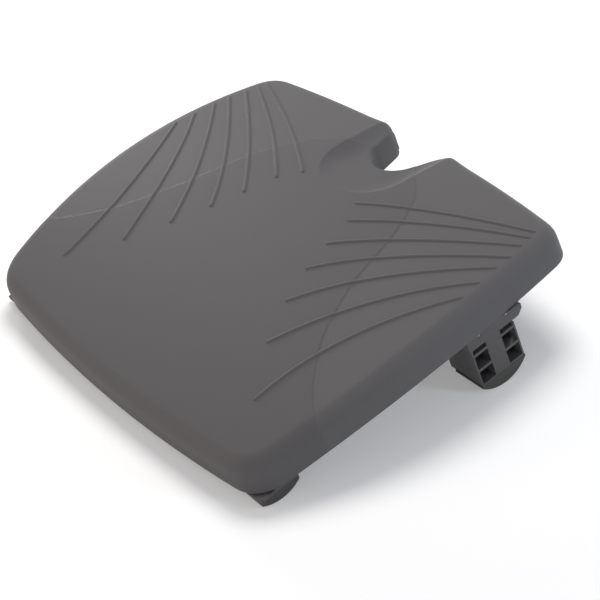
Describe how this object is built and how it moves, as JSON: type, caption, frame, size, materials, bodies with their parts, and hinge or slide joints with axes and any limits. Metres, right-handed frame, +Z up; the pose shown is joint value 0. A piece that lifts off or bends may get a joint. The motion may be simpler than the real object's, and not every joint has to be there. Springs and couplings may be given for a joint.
{
  "type": "tilting under desk footrest",
  "caption": "Bowed moulded foot platform with a rear grip notch and raised grip ribs, on sliding click-stop legs with rocker soles that set its slope.",
  "frame": {"origin": "on the floor, under the middle of the whole footrest at rest", "axes": "+X to the right across the platform, +Y towards its high rear edge with the grip notch, +Z up"},
  "size_m": [0.457, 0.3524, 0.0977],
  "materials": {
    "tray_plastic": "fine spark texture, warm charcoal",
    "leg_plastic": "fine satin, charcoal",
    "sole_rubber": "matt, slightly olive black",
    "spring_steel": "blued strip",
    "screw_steel": "zinc plated"
  },
  "bodies": {
    "platform": {"tray_shell": "tray_plastic", "rear_right_socket": "tray_plastic", "rear_right_click_spring": "spring_steel", "rear_right_spring_screw": "screw_steel", "rear_right_socket_screw_1": "screw_steel", "rear_right_socket_screw_2": "screw_steel", "rear_right_socket_screw_3": "screw_steel", "rear_right_socket_screw_4": "screw_steel", "rear_right_stop_pin_1": "screw_steel", "rear_right_stop_pin_2": "screw_steel", "rear_left_socket": "tray_plastic", "rear_left_click_spring": "spring_steel", "rear_left_spring_screw": "screw_steel", "rear_left_socket_screw_1": "screw_steel", "rear_left_socket_screw_2": "screw_steel", "rear_left_socket_screw_3": "screw_steel", "rear_left_socket_screw_4": "screw_steel", "rear_left_stop_pin_1": "screw_steel", "rear_left_stop_pin_2": "screw_steel", "front_right_socket": "tray_plastic", "front_right_click_spring": "spring_steel", "front_right_spring_screw": "screw_steel", "front_right_socket_screw_1": "screw_steel", "front_right_socket_screw_2": "screw_steel", "front_right_socket_screw_3": "screw_steel", "front_right_socket_screw_4": "screw_steel", "front_right_stop_pin_1": "screw_steel", "front_right_stop_pin_2": "screw_steel", "front_left_socket": "tray_plastic", "front_left_click_spring": "spring_steel", "front_left_spring_screw": "screw_steel", "front_left_socket_screw_1": "screw_steel", "front_left_socket_screw_2": "screw_steel", "front_left_socket_screw_3": "screw_steel", "front_left_socket_screw_4": "screw_steel", "front_left_stop_pin_1": "screw_steel", "front_left_stop_pin_2": "screw_steel"},
    "rear_right_leg_body": {"rear_right_leg": "leg_plastic", "rear_right_sole": "sole_rubber"},
    "rear_left_leg_body": {"rear_left_leg": "leg_plastic", "rear_left_sole": "sole_rubber"},
    "front_right_leg_body": {"front_right_leg": "leg_plastic", "front_right_sole": "sole_rubber"},
    "front_left_leg_body": {"front_left_leg": "leg_plastic", "front_left_sole": "sole_rubber"}
  },
  "joints": [
    {"name": "rear_right_leg_slide", "type": "slide", "parent": "platform", "child": "rear_right_leg_body", "axis": [0, 0.1788, -0.9839], "range_m": [-0.014, 0], "deforming": ["rear_right_click_spring"]},
    {"name": "rear_left_leg_slide", "type": "slide", "parent": "platform", "child": "rear_left_leg_body", "axis": [0, 0.1788, -0.9839], "range_m": [-0.014, 0], "deforming": ["rear_left_click_spring"]},
    {"name": "front_right_leg_slide", "type": "slide", "parent": "platform", "child": "front_right_leg_body", "axis": [0, 0.1788, -0.9839], "range_m": [0, 0.014], "deforming": ["front_right_click_spring"]},
    {"name": "front_left_leg_slide", "type": "slide", "parent": "platform", "child": "front_left_leg_body", "axis": [0, 0.1788, -0.9839], "range_m": [0, 0.014], "deforming": ["front_left_click_spring"]}
  ]
}
